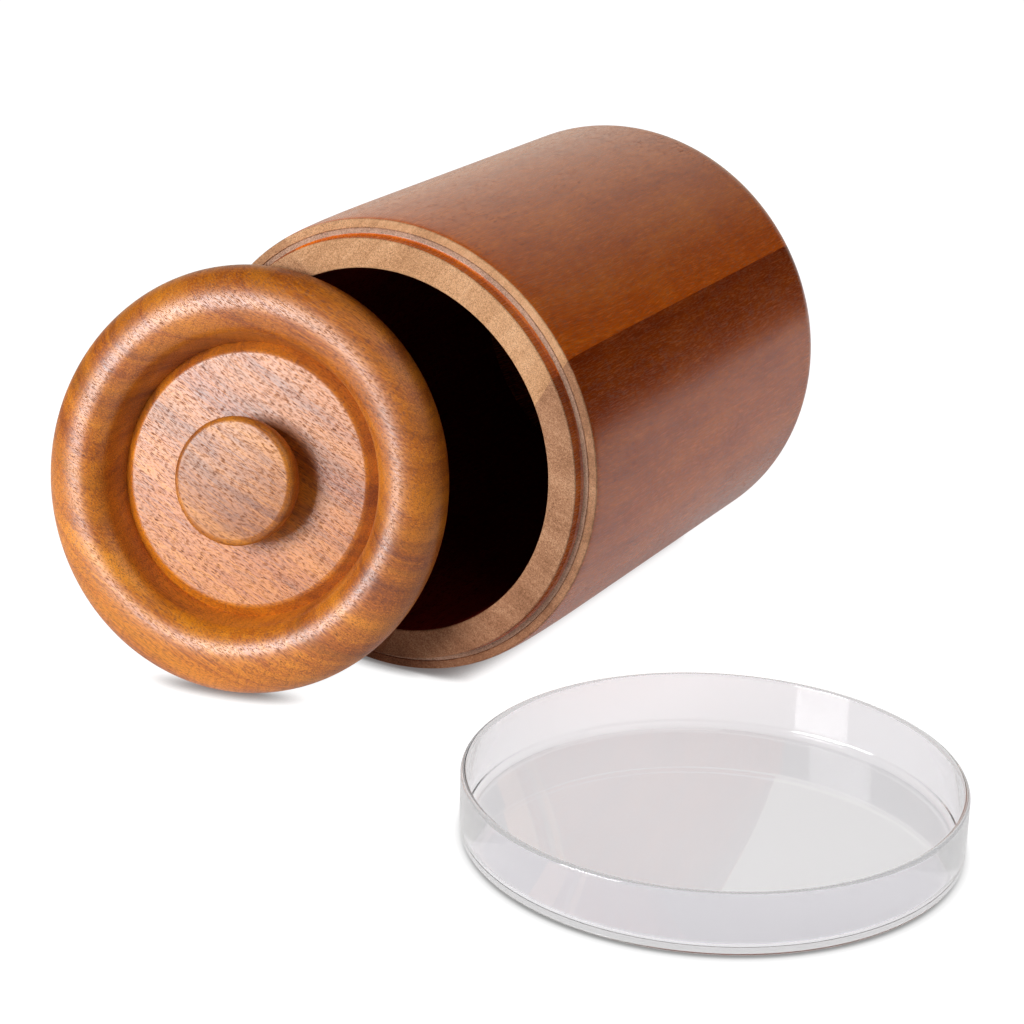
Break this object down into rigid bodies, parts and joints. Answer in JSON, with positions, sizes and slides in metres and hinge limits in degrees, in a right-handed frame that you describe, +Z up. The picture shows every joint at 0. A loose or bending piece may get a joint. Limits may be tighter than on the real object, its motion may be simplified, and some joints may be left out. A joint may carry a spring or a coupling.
{
  "type": "wooden canister with lid and glass dish",
  "caption": "Round turned wooden canister lying on its side, with a knobbed lid leaning on its mouth and a shallow straight-walled glass dish beside it.",
  "frame": {"origin": "on the ground under the middle of the whole arrangement (bottom centre of the bounding box)", "axes": "+Z up, +Y along the canister from its mouth to its base, +X to the right when looking into the mouth"},
  "size_m": [0.329, 0.3162, 0.156],
  "materials": {
    "upper_board_wood": "satin varnish over golden brown tropical hardwood, bare end grain at the mouth",
    "right_board_wood": "satin varnish over dark red-brown hardwood, bare end grain at the mouth",
    "left_board_wood": "satin varnish over mid-brown hardwood, bare end grain at the mouth",
    "lower_board_wood": "satin varnish over mid-brown hardwood, bare end grain at the mouth",
    "bottom_board_wood": "satin varnish over mid-brown hardwood",
    "lid_wood": "satin varnish over golden brown hardwood with dark pores",
    "knob_wood": "satin varnish over golden brown hardwood with dark pores",
    "clear_glass": "clear, polished"
  },
  "bodies": {
    "canister": {"wall_board_upper": "upper_board_wood", "wall_board_right": "right_board_wood", "wall_board_left": "left_board_wood", "wall_board_lower": "lower_board_wood", "bottom_board": "bottom_board_wood"},
    "lid_assembly": {"lid": "lid_wood", "lid_knob": "knob_wood"},
    "dish": {"glass_dish": "clear_glass"}
  },
  "joints": [
    {"name": "lid_pull", "type": "slide", "parent": "canister", "child": "lid_assembly", "axis": [0.1693, -0.9507, 0.2598], "range_m": [0, 0.15]},
    {"name": "dish_lift", "type": "slide", "parent": "canister", "child": "dish", "axis": [0, 0, 1], "range_m": [0, 0.1]}
  ]
}
